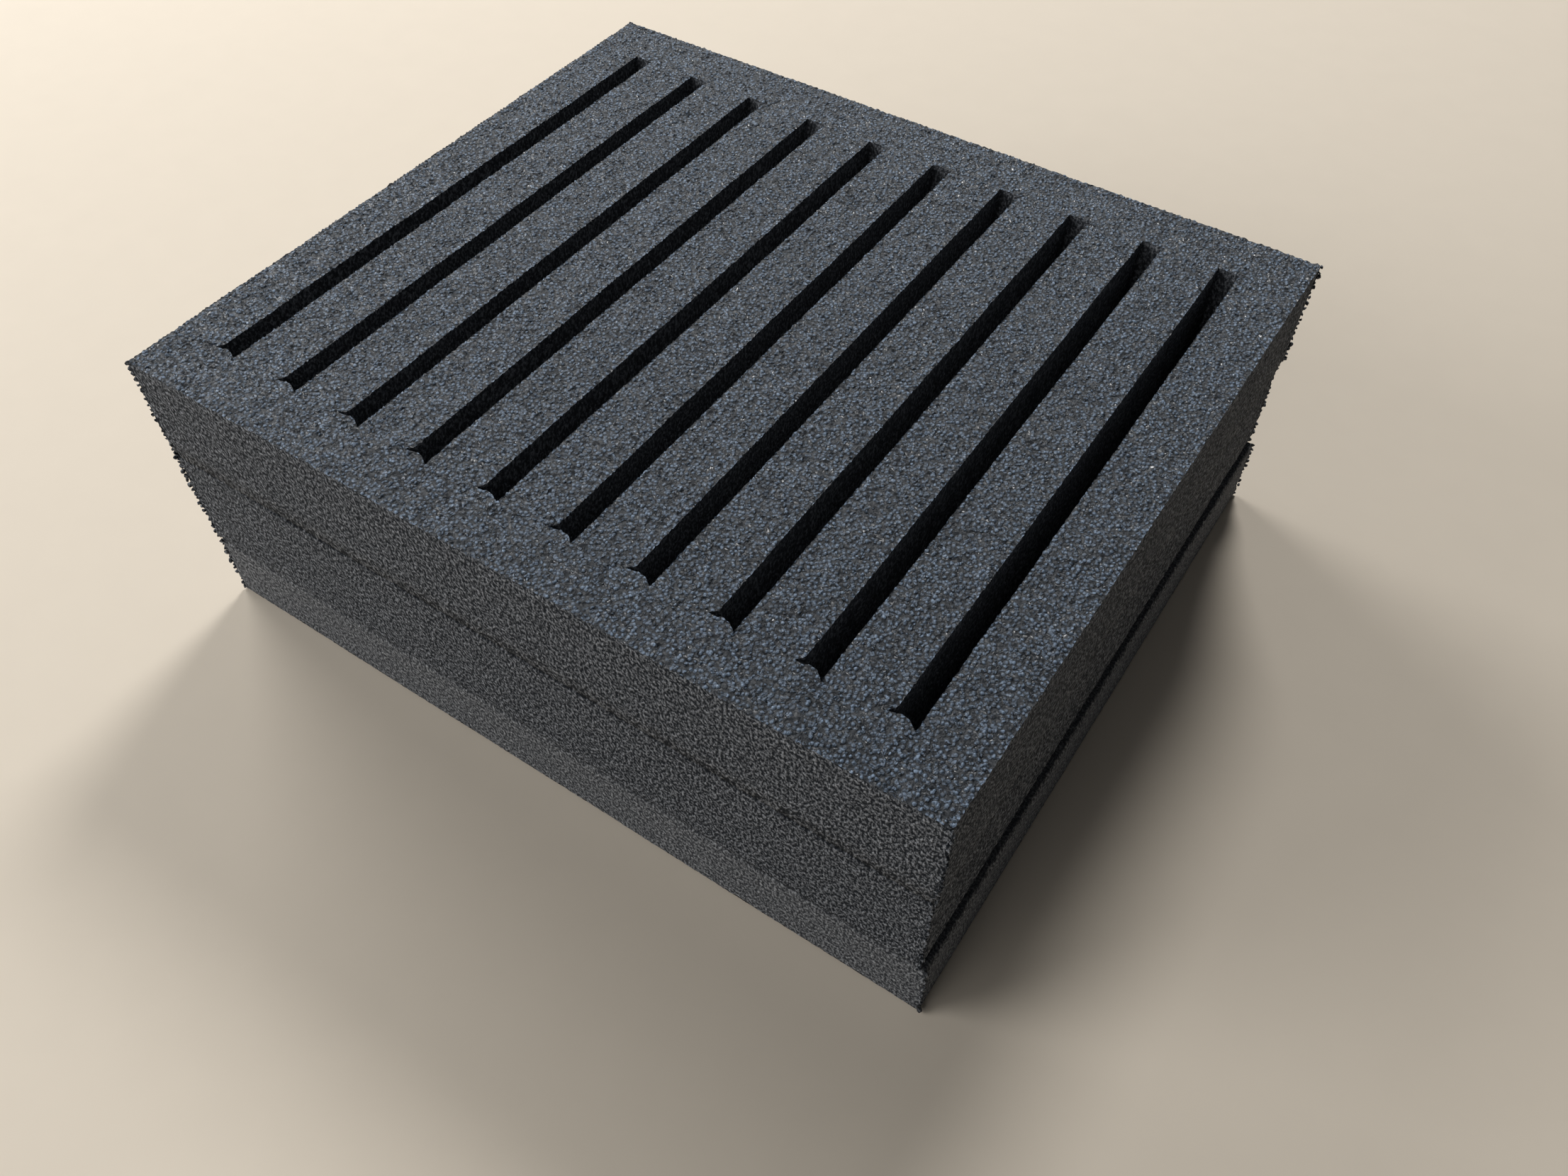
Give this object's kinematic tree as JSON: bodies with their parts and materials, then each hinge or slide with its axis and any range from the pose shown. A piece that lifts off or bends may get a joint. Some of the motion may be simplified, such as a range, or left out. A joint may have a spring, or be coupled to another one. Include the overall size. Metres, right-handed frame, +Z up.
{
  "type": "tool drawer foam insert",
  "caption": "Dark foam block welded from thick sheets, with a row of deep narrow slots that hold flat tools or plates on edge in a drawer.",
  "frame": {"origin": "middle of the underside, on the surface that the block stands on", "axes": "+X across the slots, along the block's longest side; +Y along the slots, away from the end seen in front; +Z up, out of the slots' mouths"},
  "size_m": [0.269, 0.232, 0.102],
  "materials": {
    "foam": "closed-cell polyethylene foam, dark blue-grey, pebbled skin on the faces and fine open cut cells on the sides",
    "base_foam": "closed-cell polyethylene foam, dark grey, slightly finer and smoother than the sheets above"
  },
  "bodies": {
    "root": {"top_sheet": "foam", "middle_sheet": "foam", "base_sheet": "base_foam"}
  },
  "joints": []
}
